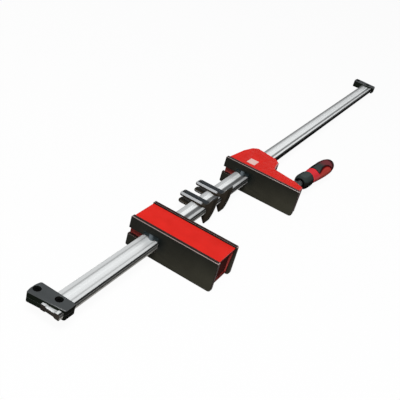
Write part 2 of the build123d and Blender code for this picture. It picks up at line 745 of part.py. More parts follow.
def handle():
    full = handle_body(0, COLLAR_END)
    inner = handle_body(GRIP_WALL, GRIP_START)
    bites = grip_scallops()
    skin = (full & drum(GRIP_START, HANDLE_END + OVERRUN, HANDLE_END)) - inner
    grip = skin - bites - handle_windows(WINDOW_GAP) - hex_insert(FIT_GAP)
    panes = (handle_body(WINDOW_SINK, GRIP_START) & handle_windows(0)) - inner
    front = full & drum(0, GRIP_START, HANDLE_END)
    core = front + inner + panes + (skin & bites)
    hole = drum(0, SPINDLE_END + FIT_GAP, SPINDLE_RADIUS + FIT_GAP)
    core = core - hole - handle_pin(FIT_GAP) - hex_insert(FIT_GAP)
    socket = RegularPolygon(INSERT_SOCKET_ACROSS / math.sqrt(3), 6)
    socket = along_rail(socket, HANDLE_END - INSERT_SOCKET_DEPTH, HANDLE_END + OVERRUN)
    pieces = {
        "spindle": spindle_rod(),
        "handle_collar": handle_collar(),
        "handle_core": core,
        "handle_grip": grip,
        "handle_pin": handle_pin(),
        "hex_insert": hex_insert() - socket,
    }
    return {name: along_spindle(piece) for name, piece in pieces.items()}


def clip_blade():
    """Curved blade across the throat edge, with a horn above the rail and a thick hook below it."""
    edge = -HALF_WIDTH - SLIDE_GAP
    throat = HALF_THICKNESS + SLIDE_GAP
    hook = [(edge - out, up) for out, up in BLADE_HOOK]
    horn = [(edge - out, up) for out, up in BLADE_HORN]
    back = ThreePointArc(hook[-1], (edge - BLADE_BACK[0], BLADE_BACK[1]), horn[0])
    root = edge + BLADE_ROOT
    arms = [(root, throat + CLIP_ARM_HEIGHT), (root, -throat - CLIP_LOWER_HEIGHT)]
    rest = Polyline(*horn, *arms, *hook)
    blade = along_rail(make_face([back, rest]), 0, CLIP_WIDTH)
    return blade - block((-OVERRUN, CLIP_WIDTH + OVERRUN), (edge, 0), (-throat, throat))


def clip_arm(height, edge):
    """Arm on the rail's upper face, with a bevel on its near edge and a nub in the rail's recess."""
    root = -HALF_WIDTH - SLIDE_GAP
    throat = HALF_THICKNESS + SLIDE_GAP
    shape = outline([(0, CLIP_REACH), (0, root), (CLIP_WIDTH, root), (CLIP_WIDTH, CLIP_REACH)])
    shape = fillet(shape.vertices().sort_by(Axis.Y)[-2:], CLIP_ARM_ROUND)
    arm = upright(shape, throat, throat + height)
    near = arm.faces().sort_by(Axis.Z)[-1].edges().sort_by(Axis.X)[0]
    arm = chamfer(near, edge)
    half = CLIP_NUB_WIDTH / 2
    return arm + block((0, CLIP_WIDTH), (-half, half), (RAIL_WAIST / 2 + SLIDE_GAP, throat))


def rail_clip():
    """Moulded clip: two arms astride the rail, joined by the blade at its throat edge."""
    upper = clip_arm(CLIP_ARM_HEIGHT, CLIP_ARM_EDGE)
    hole = Cylinder(CLIP_HOLE_RADIUS, 2 * (HALF_THICKNESS + CLIP_ARM_HEIGHT + OVERRUN))
    upper -= Pos(CLIP_WIDTH / 2, CLIP_REACH - CLIP_HOLE_INSET, 0) * hole
    lower = clip_arm(CLIP_LOWER_HEIGHT, CLIP_LOWER_EDGE)
    return clip_blade() + upper + mirror(lower, about=Plane.XY)


def assembly():
    """Every node's shape in its place in the clamp."""
    nodes = {"rail_bar": at_rail(rail_bar(), RAIL_START)}
    cap = end_cap()
    near_face = RAIL_START + CAP_SETBACK
    for name, piece in cap.items():
        nodes["near_" + name] = at_rail(piece, near_face)
        nodes["far_" + name] = at_rail(mirror(piece, about=Plane.YZ), -near_face)
    for name, piece in fixed_jaw().items():
        nodes[name] = at_rail(piece, FIXED_FACE)
    for group in (movable_jaw(), sliding_arm(), handle()):
        for name, piece in group.items():
            nodes[name] = at_rail(piece, MOVABLE_FACE)
    nodes["clip_front"] = at_rail(rail_clip(), RAIL_START + CLIP_FRONT_PLACE)
    nodes["clip_rear"] = at_rail(rail_clip(), RAIL_START + CLIP_REAR_PLACE)
    return nodes


os.makedirs("parts", exist_ok=True)
for node, shape in assembly().items():
    export_step(shape, f"parts/{node}.step")
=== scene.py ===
import json
import math
import bpy
import bmesh
from mathutils import Matrix, Vector

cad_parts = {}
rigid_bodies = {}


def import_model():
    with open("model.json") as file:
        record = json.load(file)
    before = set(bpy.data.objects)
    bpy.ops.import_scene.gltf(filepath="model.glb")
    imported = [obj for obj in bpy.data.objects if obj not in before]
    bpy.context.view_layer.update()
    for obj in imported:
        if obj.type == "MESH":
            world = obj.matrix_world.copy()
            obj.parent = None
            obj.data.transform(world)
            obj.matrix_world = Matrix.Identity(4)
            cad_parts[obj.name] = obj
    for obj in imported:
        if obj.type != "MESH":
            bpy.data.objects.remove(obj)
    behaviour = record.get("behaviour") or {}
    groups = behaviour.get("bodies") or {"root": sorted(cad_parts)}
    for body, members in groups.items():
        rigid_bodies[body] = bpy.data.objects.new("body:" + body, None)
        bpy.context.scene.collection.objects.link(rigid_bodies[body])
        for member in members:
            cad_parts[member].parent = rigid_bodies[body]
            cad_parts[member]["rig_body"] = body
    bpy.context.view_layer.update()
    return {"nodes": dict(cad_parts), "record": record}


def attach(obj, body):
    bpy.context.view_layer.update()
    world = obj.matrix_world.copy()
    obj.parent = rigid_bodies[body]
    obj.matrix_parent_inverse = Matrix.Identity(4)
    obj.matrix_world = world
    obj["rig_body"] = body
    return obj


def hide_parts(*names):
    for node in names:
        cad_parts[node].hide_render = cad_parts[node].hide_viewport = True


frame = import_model()

MM = 0.001

# Camera: place and directions in the shared frame, lens and sensor in millimetres, range in metres
CAMERA_PLACE = Vector((-1.13082, -0.30390, 0.56379))
CAMERA_RIGHT = Vector((0.494158, -0.834660, 0.243207))
CAMERA_UP = Vector((0.341516, 0.443631, 0.828588))
CAMERA_LENS = 58.96
CAMERA_SENSOR = 36.0
CAMERA_RANGE = (0.01, 50.0)

# Key lamp: place, aim and width in metres, power in watts
KEY_PLACE = (-1.35, -0.35, 2.25)
KEY_AIM = (-0.1, 0.0, 0.0)
KEY_SIZE = 1.3
KEY_POWER = 52

# Surroundings: the soft light on the clamp, and the floor's size and shades
SOFT_LIGHT = (0.93, 0.96, 1.0, 1.0)
SOFT_STRENGTH = 0.16
WHITE = (1.0, 1.0, 1.0, 1.0)
FLOOR_SIZE = 12.0
FLOOR_DIM = (0.16, 0.16, 0.16, 1.0)
FLOOR_PALE = (0.95, 0.95, 0.95, 1.0)
FLOOR_GLOW = 0.95
FLOOR_ROUGHNESS = 0.9

# Shapes: distances in millimetres within which points are one, angles in degrees of flat faces and of corners
MERGE_SOLID = 0.01
MERGE_SPUN = 0.001
FLAT_ANGLE = 0.5
CORNER_ANGLE = 32.0
ROUNDING_SEGMENTS = 2

# Rail and the ribs of its narrow sides, in millimetres; a rib's crest as a share of its foot
RAIL_LENGTH = 1300.0
RAIL_WIDTH = 29.0
RAIL_Y = 34.75
RIB_PITCH = 2.5
RIB_LENGTH = 1.1
RIB_HEIGHT = 4.2
RIB_Z = 27.2
RIB_DEPTH = 0.3
RIB_CREST = 0.45

# Fields: an axis, the place in millimetres where a shade begins and the place where it is full
# Rail: where its painted reflections and shades change along it, and the heights above which its narrow sides take a
# painted shade, all along and further from the near end
RAIL_AWAY = ("X", -350, -50)
NEAR_TO_MIDDLE = ("X", -420, -390)
MIDDLE_TO_FAR = ("X", -130, -100)
DARK_SIDE = ("Z", 24.4, 25.2)
DARK_SIDE_AWAY = ("Z", 22.4, 23.2)
# Pads: where their painted light makes them paler towards the bottom, their painted shade round the rail, and the
# painted light in the hollow over the rail and on its tongue
PAD_LOW = ("Z", 50, 18)
PAD_HOLLOW = (("Y", 21.95, 22.25), ("Y", 47.55, 47.25), ("Z", 28.6, 29.1), ("Z", 38.8, 38.5))
PAD_SHADE = (("Y", 6, 21), ("Y", 45, 30), ("Z", 14, 24), ("Z", 44, 38))
PAD_TONGUE = (("Y", RAIL_Y - 4.4, RAIL_Y - 0.5), ("Y", RAIL_Y + 4.5, RAIL_Y + 3.5))
# Handle: where its grip takes a painted reddish reflection towards the rear, and where it goes black at its end
HANDLE_REAR_REFLECTION = ("X", 12, 30)
HANDLE_END = ("X", 46, 58)

# Painted reflection and shade across the rail's upper face: shares of full brightness by place across it in
# millimetres, one set for the near end, one for the middle and one for the far part
STRIPE_RANGE = (20, 50)
NEAR_SHINE_AND_SHADE = (
    (22.6, 0.02), (23.4, 0.66), (24.2, 0.72), (26.8, 0.72), (27.8, 0.67), (28.4, 0.52), (29.4, 0.52), (30.4, 0.72),
    (31.8, 0.82), (36.0, 0.86), (40.4, 0.84), (41.6, 0.64), (42.2, 0.42), (43.0, 0.42), (43.8, 0.62), (46.0, 0.66),
    (49.5, 0.64),
)
MIDDLE_SHINE_AND_SHADE = (
    (22.6, 0.02), (23.4, 0.45), (25.5, 0.62), (27.0, 0.58), (28.5, 0.40), (29.6, 0.16), (34.0, 0.14), (35.2, 0.45),
    (36.4, 0.95), (41.6, 1.0), (42.6, 0.62), (43.4, 0.62), (44.5, 0.60), (46.5, 0.56), (49.5, 0.50),
)
FAR_SHINE_AND_SHADE = (
    (23.1, 0.01), (23.8, 0.9), (26.5, 1.0), (27.8, 0.70), (29.2, 0.26), (30.6, 0.20), (32.0, 0.50), (33.2, 0.95),
    (34.5, 1.0), (40.5, 1.0), (42.0, 0.88), (44.0, 0.64), (46.0, 0.34), (48.0, 0.28), (49.5, 0.42),
)

# Spindle, in millimetres from its seat along its own axis; thread's crest and foot as shares of its pitch
SEAT = Vector((-127.0, -43.75, 25.5))
SPINDLE_TILT = 5.0
SPINDLE_RADIUS = 6.0
SPINDLE_END = 128.0
SPINDLE_NOSE = 3.0
SPINDLE_CHAMFER = 1.0
SPINDLE_STEPS = 40
THREAD_START = 14.0
THREAD_END = 100.0
THREAD_PITCH = 3.0
THREAD_DEPTH = 0.9
THREAD_STEPS = 28
THREAD_CREST = 0.18
THREAD_FOOT = 0.36
THREAD_SINK = 0.2
THREAD_LEAD = 0.5
THREAD_RUNOUT = 1.0
GROOVE_START = 8.6
GROOVE_END = 11.4
GROOVE_RADIUS = 4.4

# Collar and handle on the spindle: places along it and radii in millimetres
COLLAR_PLACES = ((63.0, 10.5), (67.1, 13.3), (72.2, 14.9), (88.8, 14.9), (93.9, 14.2), (97.0, 12.7))
COLLAR_RIBS = 30
COLLAR_VALLEY = 0.94
COLLAR_ROUNDING = 0.6
HANDLE_PLACES = (
    (97.0, 13.0), (112.2, 13.9), (134.4, 15.5), (157.6, 16.0), (177.8, 14.9), (190.9, 12.2), (197.9, 8.4),
)
HANDLE_RING = 1.2
HANDLE_STEPS = 96
HANDLE_SMOOTHINGS = 12
HANDLE_FIRM_END = 3.0
HANDLE_FLAT_END = 1.0
HANDLE_HOLE = 5.5

# Red parts of the handle: where the neck ends by angle from the top, and half the windows' angle by place
NECK_EDGE = ((0.0, 116.0), (35.0, 116.0), (50.0, 117.5), (58.0, 120.0), (70.0, 123.0), (180.0, 123.0))
NECK_FADE = 126.0
WINDOW_TURNS = (90.0, -108.0)
WINDOW_HALVES = (
    (115.0, 26.0), (119.0, 32.0), (127.0, 47.0), (136.0, 58.0), (144.0, 61.0), (153.0, 60.0), (162.0, 50.0),
    (171.0, 28.0), (177.0, 0.0),
)

# Millimetres over which the inlay's mark, the neck's mark and the inlay's step run, and how deep the step is
INLAY_SPAN = 12.0
NECK_SPAN = 8.0
SINK_SPAN = 1.5
INLAY_SINK = 0.4

# Ranges of those marks, and of the turn to Y, over which the handle's colours change: the painted highlight in the
# black lobes, the red's edge, the painted shade along the windows' edges, and the neck
LOBE_HIGHLIGHT_MARK = (0.46, 0.22)
LOBE_HIGHLIGHT_TURN = (0.6, 0.25)
RED_MARK = (0.48, 0.52)
WINDOW_EDGE_SHADE_MARK = (0.6, 0.85)
NECK_MARK = (0.2, 0.8)

# Noise: stretch along each axis, scale and detail, and last the part of its values that is used
EVEN = (1, 1, 1)
CLOUD_NOISE = (EVEN, 45, 4)
PAD_CLOUD_NOISE = (EVEN, 60, 4)
GRAIN_NOISE = (EVEN, 2600, 2)
SPECKLE_NOISE = (EVEN, 700, 4)
LINE_NOISE = ((0.02, 1, 1), 900, 3)
PATCH_NOISE = ((0.35, 1, 1), 22, 3)
NOISE_MIDDLE = (0.3, 0.7)

# How far a surface is turned to an axis: where a shade begins and where it is full
TURNED_UP = (0.6, 0.9)
TURNED_ALONG = (0.5, 0.8)
TURNED_ASIDE = (0.75, 0.9)
EDGE_BEGINS = (0.3, 0.5)
EDGE_ENDS = (0.8, 0.92)
SIDE_ENDS = (0.1, 0.5)
SAWN_BEGINS = (0.4, 0.6)

# Moulded pieces: metres over which the painted colours of tops and edges fade in past their starts, a start that leaves
# none out, and their finish
TOP_FADE = 0.002
EDGE_FADE = 0.003
NO_START = -1.0
CLOUD_GREY = 0.6
SIDE_ROUGHNESS = 0.85
COAT_ROUGHNESS = 0.25
COAT_IOR = 1.4

# Pads: places along Y in millimetres where their painted light begins to make them paler and where they are palest, and
# their finish
PAD_PALE_Y = (60, -45)
PAD_PALE_LEAST = 0.15
PAD_CLOUD = 0.35
PAD_GLOSS = (0.4, 0.5)

# Rail: how patchy its faces are, roughness of its faces and of its sides and ends, metal in its faces, saw marks
RAIL_PATCHES = 0.12
RAIL_PATCH_GREY = 0.7
RAIL_ROUGHNESS = (0.32, 0.7)
RAIL_METALLIC = 0.3
SAWN_DARK = (0.03, 0.028, 0.026, 1.0)

# Bumps: height in metres at full strength, and the strength of steel's drawing lines
BUMP_HEIGHT = 0.0001
LINE_BUMP = 0.1

COLOUR, VALUE = "NodeSocketColor", "NodeSocketFloat"
SKIN_OUTPUTS = (("Colour", COLOUR), ("Roughness", VALUE), ("Edge", VALUE), ("Grain", VALUE))


def node_tree(material):
    material.use_nodes = True
    tree = material.node_tree
    return tree, tree.nodes["Principled BSDF"]


def new_group(name, colours, values, outputs):
    """Shader node group with inputs for colours and values, which every material sets, and named outputs."""
    group = bpy.data.node_groups.new(name, "ShaderNodeTree")
    for label in colours:
        group.interface.new_socket(label, in_out="INPUT", socket_type=COLOUR)
    for label in values:
        group.interface.new_socket(label, in_out="INPUT", socket_type=VALUE)
    for label, kind in outputs:
        group.interface.new_socket(label, in_out="OUTPUT", socket_type=kind)
    return group, group.nodes.new("NodeGroupInput"), group.nodes.new("NodeGroupOutput")


def feed(group, socket, value):
    """Set a socket to a fixed value, or link it to the node output that gives the value."""
    if isinstance(value, (int, float, tuple)):
        socket.default_value = value
    else:
        group.links.new(value, socket)


def stretched_noise(group, stretch, scale, detail):
    """Noise on object coordinates, squeezed by a stretch along each axis."""
    place = group.nodes.new("ShaderNodeTexCoord")
    mapping = group.nodes.new("ShaderNodeMapping")
    mapping.inputs["Scale"].default_value = stretch
    noise = group.nodes.new("ShaderNodeTexNoise")
    noise.inputs["Scale"].default_value = scale
    noise.inputs["Detail"].default_value = detail
    group.links.new(place.outputs["Object"], mapping.inputs["Vector"])
    group.links.new(mapping.outputs["Vector"], noise.inputs["Vector"])
    return noise.outputs["Fac"]


def ramp(group, source, low, high, start=0.0, end=1.0):
    """Straight ramp of a value between two others, held at its ends."""
    ranged = group.nodes.new("ShaderNodeMapRange")
    group.links.new(source, ranged.inputs["Value"])
    for label, value in (("From Min", low), ("From Max", high), ("To Min", start), ("To Max", end)):
        feed(group, ranged.inputs[label], value)
    return ranged.outputs["Result"]


def spread(group, source, low, high):
    """Map the middle part of a noise value to a range."""
    return ramp(group, source, *NOISE_MIDDLE, low, high)


def blended(group, factor, first, second, kind="MIX"):
    """Two colours mixed as far as a factor says."""
    mix = group.nodes.new("ShaderNodeMix")
    mix.data_type = "RGBA"
    mix.blend_type = kind
    for label, value in (("Factor", factor), ("A", first), ("B", second)):
        feed(group, mix.inputs[label], value)
    return mix.outputs["Result"]


def darkened(group, factor, colour, grey):
    """A colour multiplied by a grey, as far as a factor says."""
    return blended(group, factor, colour, grey, "MULTIPLY")


def worked(group, operation, first, second):
    """Two values put together by a math node."""
    node = group.nodes.new("ShaderNodeMath")
    node.operation = operation
    feed(group, node.inputs[0], first)
    feed(group, node.inputs[1], second)
    return node.outputs["Value"]


def product(group, first, second):
    return worked(group, "MULTIPLY", first, second)


def larger(group, first, second):
    return worked(group, "MAXIMUM", first, second)


def beyond(group, source, limit, width):
    """Nought where a value is below a limit, one where it is above it by a width."""
    return ramp(group, worked(group, "SUBTRACT", source, limit), 0.0, width)


def own_place(group):
    """Place and surface direction in the piece's own axes, each as X, Y and Z."""
    place = group.nodes.new("ShaderNodeTexCoord")
    parts = []
    for label in ("Object", "Normal"):
        split = group.nodes.new("ShaderNodeSeparateXYZ")
        group.links.new(place.outputs[label], split.inputs["Vector"])
        parts.append(split.outputs)
    return parts


def field(group, place, *limits):
    """One inside a field, nought outside, from its limits: axis, beginning and full place in millimetres."""
    shares = [ramp(group, place[axis], begins * MM, full * MM) for axis, begins, full in limits]
    inside = shares[0]
    for share in shares[1:]:
        inside = product(group, inside, share)
    return inside


def along_x(group, facing, begins, full):
    """One where a surface faces along X, either way."""
    return ramp(group, product(group, facing["X"], facing["X"]), begins, full)


def upper_edge(group, facing):
    """One on the bevels round a top, nought on the top and on the sides."""
    return product(group, ramp(group, facing["Z"], *EDGE_BEGINS), ramp(group, facing["Z"], *EDGE_ENDS, 1.0, 0.0))


def moulded_group():
    """Moulded plastic: colours of tops, sides, fronts and bevelled edges, painted as light, shade and highlights on one
    plastic, clouded, with grain and cloudy gloss.
    """
    colours = ("Top Colour", "Side Colour", "Front Colour", "Edge Colour")
    values = ("Edge Start", "Top Start", "Cloud", "Gloss Low", "Gloss High")
    group, inside, outside = new_group("moulded_plastic", colours, values, SKIN_OUTPUTS)
    given = inside.outputs
    place, facing = own_place(group)
    # Tops below Top Start lose their painted light and take the painted shade of the sides.
    top = product(group, ramp(group, facing["Z"], *TURNED_UP), beyond(group, place["Z"], given["Top Start"], TOP_FADE))
    # Bevels beyond Edge Start take the edge colour, which each look sets as painted light and shade for its edges; the
    # same mask drives the coat.
    edge = product(group, upper_edge(group, facing), beyond(group, place["Y"], given["Edge Start"], EDGE_FADE))
    front = along_x(group, facing, *TURNED_ALONG)
    cloud = stretched_noise(group, *CLOUD_NOISE)
    colour = blended(group, front, given["Side Colour"], given["Front Colour"])
    colour = blended(group, top, colour, given["Top Colour"])
    colour = blended(group, edge, colour, given["Edge Colour"])
    colour = darkened(group, given["Cloud"], colour, spread(group, cloud, 1.0, CLOUD_GREY))
    gloss = spread(group, cloud, given["Gloss Low"], given["Gloss High"])
    gloss = larger(group, gloss, ramp(group, facing["Z"], *SIDE_ENDS, SIDE_ROUGHNESS, 0.0))
    group.links.new(colour, outside.inputs["Colour"])
    group.links.new(gloss, outside.inputs["Roughness"])
    group.links.new(edge, outside.inputs["Edge"])
    group.links.new(stretched_noise(group, *GRAIN_NOISE), outside.inputs["Grain"])
    return group


def pad_group():
    """Jaw pad: dark, with painted light that makes it paler towards its lower tip, painted highlights on bevelled
    edges, painted shade round the rail, and painted light in a bluish hollow over the rail.
    """
    colours = ("Dark", "Pale", "Side", "Edge", "Shade", "Hollow", "Tongue")
    group, inside, outside = new_group("jaw_pad", [label + " Colour" for label in colours], (), SKIN_OUTPUTS)
    given = inside.outputs
    place, facing = own_place(group)
    # Painted light that makes the pad paler towards its bottom and its lower tip.
    tip = ramp(group, place["Y"], PAD_PALE_Y[0] * MM, PAD_PALE_Y[1] * MM, PAD_PALE_LEAST, 1.0)
    edge = upper_edge(group, facing)
    cloud = stretched_noise(group, *PAD_CLOUD_NOISE)
    pale = product(group, field(group, place, PAD_LOW), tip)
    colour = blended(group, pale, given["Dark Colour"], given["Pale Colour"])
    # Painted shade round the rail, the side colour as painted light on faces not turned along X, and a painted
    # highlight on the bevels.
    colour = blended(group, field(group, place, *PAD_SHADE), colour, given["Shade Colour"])
    colour = blended(group, along_x(group, facing, *TURNED_ALONG), given["Side Colour"], colour)
    colour = blended(group, edge, colour, given["Edge Colour"])
    # Painted light in the hollow over the rail and a painted highlight on its tongue.
    hollow = blended(group, field(group, place, *PAD_TONGUE), given["Hollow Colour"], given["Tongue Colour"])
    colour = blended(group, field(group, place, *PAD_HOLLOW), colour, hollow)
    colour = darkened(group, PAD_CLOUD, colour, spread(group, cloud, 1.0, CLOUD_GREY))
    group.links.new(colour, outside.inputs["Colour"])
    group.links.new(spread(group, cloud, *PAD_GLOSS), outside.inputs["Roughness"])
    group.links.new(edge, outside.inputs["Edge"])
    group.links.new(stretched_noise(group, *GRAIN_NOISE), outside.inputs["Grain"])
    return group


def drawn_group():
    """Fine lines along X, as drawing leaves them on steel, with a patchy shine."""
    outputs = (("Colour", COLOUR), ("Roughness", VALUE), ("Lines", VALUE))
    labels = ("Colour", "Line Colour"), ("Gloss Low", "Gloss High")
    group, inside, outside = new_group("drawn_steel", *labels, outputs)
    given = inside.outputs
    lines = stretched_noise(group, *LINE_NOISE)
    patches = stretched_noise(group, *PATCH_NOISE)
    colour = blended(group, spread(group, lines, 0.0, 1.0), given["Colour"], given["Line Colour"])
    group.links.new(colour, outside.inputs["Colour"])
    group.links.new(spread(group, patches, given["Gloss Low"], given["Gloss High"]), outside.inputs["Roughness"])
    group.links.new(lines, outside.inputs["Lines"])
    return group


def stripes(group, source, low, high, stops):
    """Grey that changes along a value, given as stops of place and share, places in millimetres."""
    along = ramp(group, source, low * MM, high * MM)
    node = group.nodes.new("ShaderNodeValToRGB")
    colours = node.color_ramp.elements
    colours.remove(colours[-1])
    for index, (place, share) in enumerate(stops):
        stop = colours[0] if index == 0 else colours.new(1.0)
        stop.position = (place - low) / (high - low)
        stop.color = (share, share, share, 1.0)
    group.links.new(along, node.inputs["Fac"])
    return node.outputs["Color"]


def rail_group():
    """Drawn faces whose lobes and shoulders take painted reflection and shade across the width, narrow sides with
    painted shade over a band with a painted highlight, sawn ends.
    """
    colours = ("", "Line ", "Near Side ", "Far Side ", "Near Band ", "Far Band ", "End ")
    outputs = (("Colour", COLOUR), ("Roughness", VALUE), ("Metallic", VALUE), ("Lines", VALUE))
    group, inside, outside = new_group("grooved_rail", [label + "Colour" for label in colours], (), outputs)
    given = inside.outputs
    place, facing = own_place(group)
    lines = stretched_noise(group, *LINE_NOISE)
    patches = stretched_noise(group, *PATCH_NOISE)
    speckle = stretched_noise(group, *SPECKLE_NOISE)
    colour = blended(group, spread(group, lines, 0.0, 1.0), given["Colour"], given["Line Colour"])
    colour = darkened(group, RAIL_PATCHES, colour, spread(group, patches, 1.0, RAIL_PATCH_GREY))
    # Painted reflection and shade in stripes across the face, changing from the near end through the middle to the far
    # part.
    shades = (NEAR_SHINE_AND_SHADE, MIDDLE_SHINE_AND_SHADE, FAR_SHINE_AND_SHADE)
    near, middle, far = [stripes(group, place["Y"], *STRIPE_RANGE, stops) for stops in shades]
    shade = blended(group, field(group, place, NEAR_TO_MIDDLE), near, middle)
    shade = blended(group, field(group, place, MIDDLE_TO_FAR), shade, far)
    colour = darkened(group, 1.0, colour, shade)
    # Narrow sides: painted shade over their upper part, darker away from the near end, over a band with a painted
    # highlight, which is also made metal.
    low, high = TURNED_ASIDE
    side = larger(group, ramp(group, facing["Y"], -low, -high), ramp(group, facing["Y"], low, high))
    away = field(group, place, RAIL_AWAY)
    dark = product(group, away, field(group, place, DARK_SIDE_AWAY))
    dark = larger(group, dark, field(group, place, DARK_SIDE))
    upper = blended(group, away, given["Near Side Colour"], given["Far Side Colour"])
    lower = blended(group, away, given["Near Band Colour"], given["Far Band Colour"])
    colour = blended(group, side, colour, blended(group, dark, lower, upper))
    highlight_band = product(group, side, ramp(group, dark, 0.0, 1.0, 1.0, 0.0))
    end = along_x(group, facing, *SAWN_BEGINS)
    sawn = blended(group, spread(group, speckle, 0.0, 1.0), given["End Colour"], SAWN_DARK)
    dull = larger(group, side, end)
    metallic = larger(group, ramp(group, dull, 0.0, 1.0, RAIL_METALLIC, 0.0), highlight_band)
    group.links.new(blended(group, end, colour, sawn), outside.inputs["Colour"])
    group.links.new(ramp(group, dull, 0.0, 1.0, *RAIL_ROUGHNESS), outside.inputs["Roughness"])
    group.links.new(metallic, outside.inputs["Metallic"])
    group.links.new(lines, outside.inputs["Lines"])
    return group


def bump(tree, height, shader, strength):
    node = tree.nodes.new("ShaderNodeBump")
    node.inputs["Strength"].default_value = strength
    node.inputs["Distance"].default_value = BUMP_HEIGHT
    tree.links.new(height, node.inputs["Height"])
    tree.links.new(node.outputs["Normal"], shader.inputs["Normal"])


def linear(red, green, blue):
    """Colour as a screen shows it, from 0 to 255, turned into the light that it stands for."""
    values = []
    for value in (red, green, blue):
        share = value / 255
        values.append(share / 12.92 if share <= 0.04045 else ((share + 0.055) / 1.055) ** 2.4)
    return (*values, 1.0)


def input_name(label):
    return label.replace("_", " ").title()


def group_material(name, group, values, height, strength, shine):
    """Material whose colour, roughness and bump come from one of the node groups."""
    material = bpy.data.materials.new(name)
    tree, shader = node_tree(material)
    look = tree.nodes.new("ShaderNodeGroup")
    look.node_tree = GROUPS[group]
    for label, value in values.items():
        look.inputs[label].default_value = value
    tree.links.new(look.outputs["Colour"], shader.inputs["Base Color"])
    tree.links.new(look.outputs["Roughness"], shader.inputs["Roughness"])
    bump(tree, look.outputs[height], shader, strength)
    shader.inputs["Specular IOR Level"].default_value = shine
    return material, tree, shader, look


def skin_material(name, group, values, grain, shine, coated=True):
    """Plastic or rubber with grain and, where it is coated, a coat on its edges."""
    material, tree, shader, look = group_material(name, group, values, "Grain", grain, shine)
    if coated:
        tree.links.new(look.outputs["Edge"], shader.inputs["Coat Weight"])
    shader.inputs["Coat Roughness"].default_value = COAT_ROUGHNESS
    shader.inputs["Coat IOR"].default_value = COAT_IOR
    return material


def moulded(
    name, top, side, front, edge, gloss,
    cloud=0.25, grain=0.06, shine=0.05, coated=True, edge_start=NO_START, top_start=NO_START,
):
    """Moulded plastic: colours of its tops, sides, fronts and edges, which paint light and shade on one plastic, the
    range of its gloss, cloudiness and grain.
    """
    values = {"Top Colour": linear(*top), "Side Colour": linear(*side), "Front Colour": linear(*front)}
    values.update({"Edge Colour": linear(*edge), "Edge Start": edge_start, "Top Start": top_start})
    values.update({"Cloud": cloud, "Gloss Low": gloss[0], "Gloss High": gloss[1]})
    return skin_material(name, "moulded", values, grain, shine, coated)


def handle_skin(name, gloss, cloud, grain, shine, **colours):
    """Red neck and inlaid windows in a black grip, told apart by how far a point lies inside the red; brighter reds on
    sides and fronts as painted light, a painted shade along the windows' edges, a painted highlight in the black lobes
    and a painted reddish reflection towards the rear.
    """
    red = colours["neck"]
    material = moulded(name, red, red, red, red, gloss, cloud, grain, shine, coated=False)
    tree = material.node_tree
    look = [node for node in tree.nodes if node.type == "GROUP"][0]
    inlay, neck = tree.nodes.new("ShaderNodeAttribute"), tree.nodes.new("ShaderNodeAttribute")
    inlay.attribute_name = "inlay"
    neck.attribute_name = "neck"
    inlay = inlay.outputs["Fac"]
    neck = ramp(tree, neck.outputs["Fac"], *NECK_MARK)
    place, facing = own_place(tree)
    shades = {label: linear(*colour) for label, colour in colours.items()}
    # Painted reddish reflection towards the rear of the grip, then the black of its end.
    black = blended(tree, field(tree, place, HANDLE_REAR_REFLECTION), shades["grip"], shades["rear"])
    black = blended(tree, field(tree, place, HANDLE_END), black, shades["end"])
    # Painted highlight in the middle of the black lobes, giving way to the end's black as painted shade at their edges
    # and on faces turned to Y.
    lobe_highlight = product(tree, ramp(tree, inlay, *LOBE_HIGHLIGHT_MARK), ramp(tree, facing["Y"], *LOBE_HIGHLIGHT_TURN))
    black = blended(tree, lobe_highlight, shades["end"], black)
    # Sides and fronts take brighter reds than tops as painted light; a painted shade runs along the windows' edges.
    for labels, low in ((("Top Colour", "Edge Colour"), ""), (("Side Colour", "Front Colour"), "low_")):
        red = blended(tree, ramp(tree, inlay, *WINDOW_EDGE_SHADE_MARK), shades["groove"], shades[low + "window"])
        red = blended(tree, neck, red, shades[low + "neck"])
        colour = blended(tree, ramp(tree, inlay, *RED_MARK), black, red)
        for label in labels:
            tree.links.new(colour, look.inputs[label])
    return material


def jaw_pad(name, grain, shine, **colours):
    values = {input_name(label) + " Colour": linear(*colour) for label, colour in colours.items()}
    return skin_material(name, "pad", values, grain, shine)


def steel(name, colour, line, gloss, metallic=1.0, shine=0.5):
    """Metal: a colour, the colour of its drawing lines and the range of its gloss."""
    values = {"Colour": (*colour, 1.0), "Line Colour": (*line, 1.0), "Gloss Low": gloss[0], "Gloss High": gloss[1]}
    material, _, shader, _ = group_material(name, "drawn", values, "Lines", LINE_BUMP, shine)
    shader.inputs["Metallic"].default_value = metallic
    return material


def grooved_rail(name, **colours):
    values = {input_name(label): (*colour, 1.0) for label, colour in colours.items()}
    material, tree, shader, look = group_material(name, "rail", values, "Lines", LINE_BUMP, 0.0)
    tree.links.new(look.outputs["Metallic"], shader.inputs["Metallic"])
    return material


GROUPS = {"moulded": moulded_group(), "pad": pad_group(), "drawn": drawn_group(), "rail": rail_group()}

